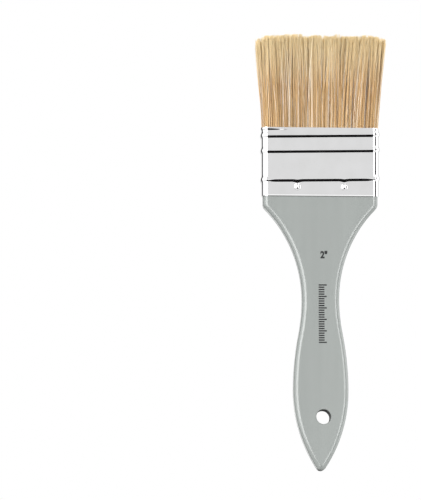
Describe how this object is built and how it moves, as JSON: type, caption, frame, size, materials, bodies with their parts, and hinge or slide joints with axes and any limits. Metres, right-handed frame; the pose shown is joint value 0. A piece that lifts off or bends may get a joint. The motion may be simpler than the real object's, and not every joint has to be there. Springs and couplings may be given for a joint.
{
  "type": "flat bristle brush",
  "caption": "Flat hand brush with a waisted painted wooden handle, a beaded tinned ferrule held by domed nails and a wide flared bank of straw-coloured natural bristle.",
  "frame": {"origin": "lowest point of the handle's tip, on the brush's centre line, with the brush stood upright", "axes": "+Z from the handle's tip to the bristle tips, +X across the brush's width, and the front face looks along -Y"},
  "size_m": [0.056, 0.0112, 0.1887],
  "materials": {
    "handle_paint": "satin",
    "tinned_sheet": "polished",
    "nail_steel": "gloss",
    "set_resin": "gloss",
    "spacer_wood": "matte",
    "bristle": "matte"
  },
  "bodies": {
    "handle_and_ferrule": {"handle": "handle_paint", "ferrule": "tinned_sheet", "front_nails": "nail_steel", "rear_nails": "nail_steel", "resin_setting": "set_resin", "spacer_plug": "spacer_wood", "front_bristle_roots": "bristle", "rear_bristle_roots": "bristle"},
    "bristle_banks": {"front_bristle_bend": "bristle", "rear_bristle_bend": "bristle", "front_bristles": "bristle", "rear_bristles": "bristle"}
  },
  "joints": [
    {"name": "bristle_flex", "type": "hinge", "parent": "handle_and_ferrule", "child": "bristle_banks", "pos_m": [0, 0, 0.1532], "axis": [1, 0, 0], "range_deg": [-35, 35], "stiffness_Nm_per_rad": 0.2, "deforming": ["front_bristle_bend", "rear_bristle_bend"]}
  ]
}
